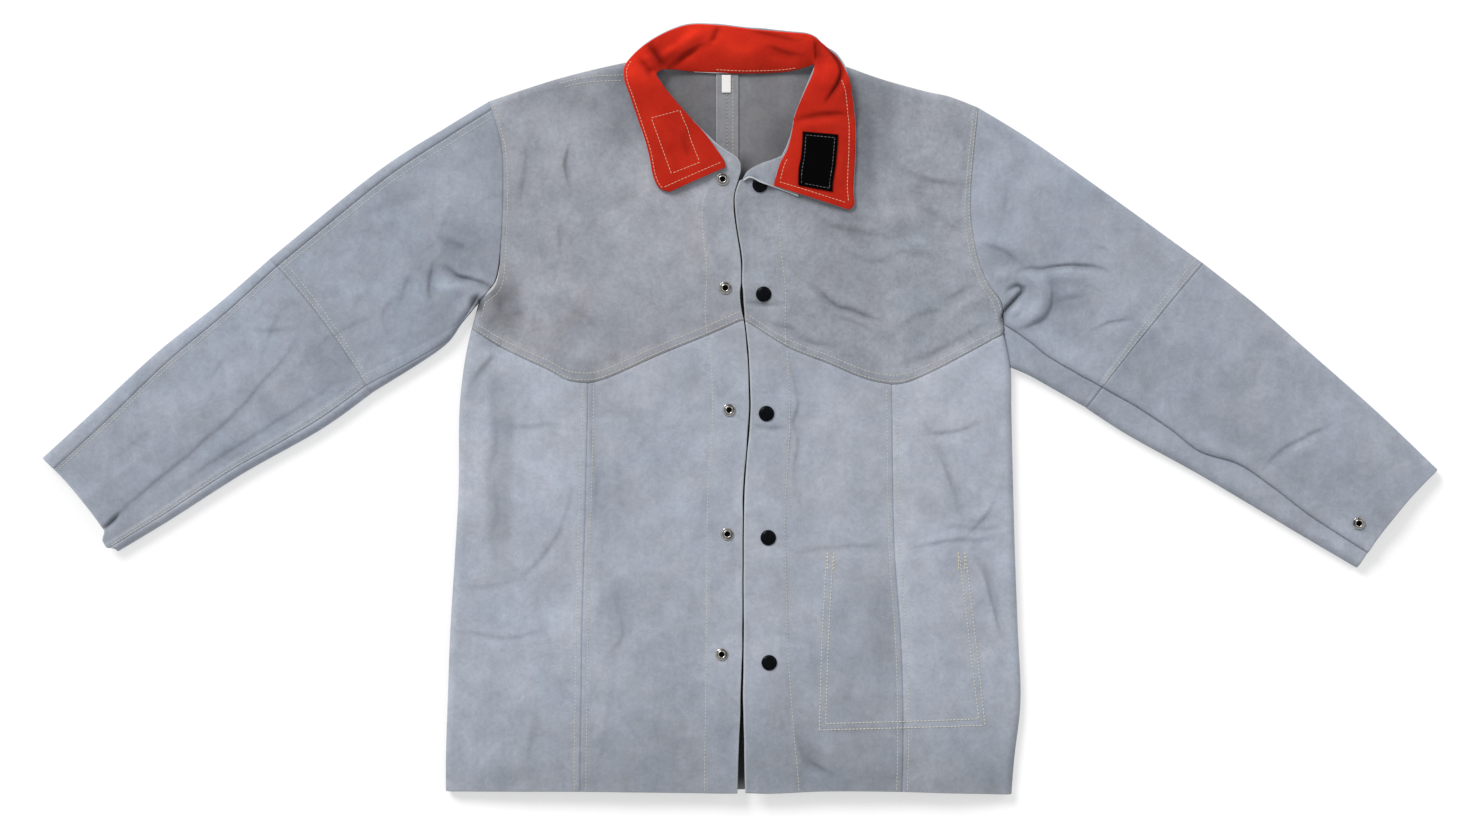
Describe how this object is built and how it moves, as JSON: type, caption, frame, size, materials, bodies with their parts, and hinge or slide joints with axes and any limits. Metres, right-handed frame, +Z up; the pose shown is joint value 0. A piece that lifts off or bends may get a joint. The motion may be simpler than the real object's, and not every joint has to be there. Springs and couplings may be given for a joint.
{
  "type": "welding jacket",
  "caption": "Long-sleeved split-leather welding jacket lying open on its back, with a red cotton collar facing, a slanting chest yoke and a snap front.",
  "frame": {"origin": "on the floor under the middle of the lying jacket's box", "axes": "+X to the wearer's left, +Y towards the collar, +Z up out of the front; the back lies on Z = 0"},
  "size_m": [1.5348, 0.8456, 0.0325],
  "materials": {
    "grey_leather": "matte split suede",
    "red_cotton": "matte plain-weave cotton",
    "hook_tape": "woven hook tape",
    "white_label": "blank woven tape",
    "black_cap": "satin black enamel",
    "nickel": "worn nickel plate"
  },
  "bodies": {
    "root": {"right_yoke": "grey_leather", "right_front": "grey_leather", "right_side": "grey_leather", "right_back": "grey_leather", "right_upper_sleeve_front": "grey_leather", "right_upper_sleeve_back": "grey_leather", "right_forearm_front": "grey_leather", "right_forearm_back": "grey_leather", "left_yoke": "grey_leather", "left_front": "grey_leather", "left_side": "grey_leather", "left_back": "grey_leather", "left_upper_sleeve_front": "grey_leather", "left_upper_sleeve_back": "grey_leather", "left_forearm_front": "grey_leather", "left_forearm_back": "grey_leather", "back_seam_tape": "grey_leather", "inside_pocket": "grey_leather", "collar_leather": "grey_leather", "collar_facing": "red_cotton", "hook_patch": "hook_tape", "size_label": "white_label", "snap_stud_1": "nickel", "snap_stud_2": "nickel", "snap_stud_3": "nickel", "snap_stud_4": "nickel", "snap_stud_5": "nickel", "snap_cap_1": "black_cap", "snap_cap_2": "black_cap", "snap_cap_3": "black_cap", "snap_cap_4": "black_cap", "snap_cap_5": "black_cap", "cuff_stud": "nickel"}
  },
  "joints": []
}
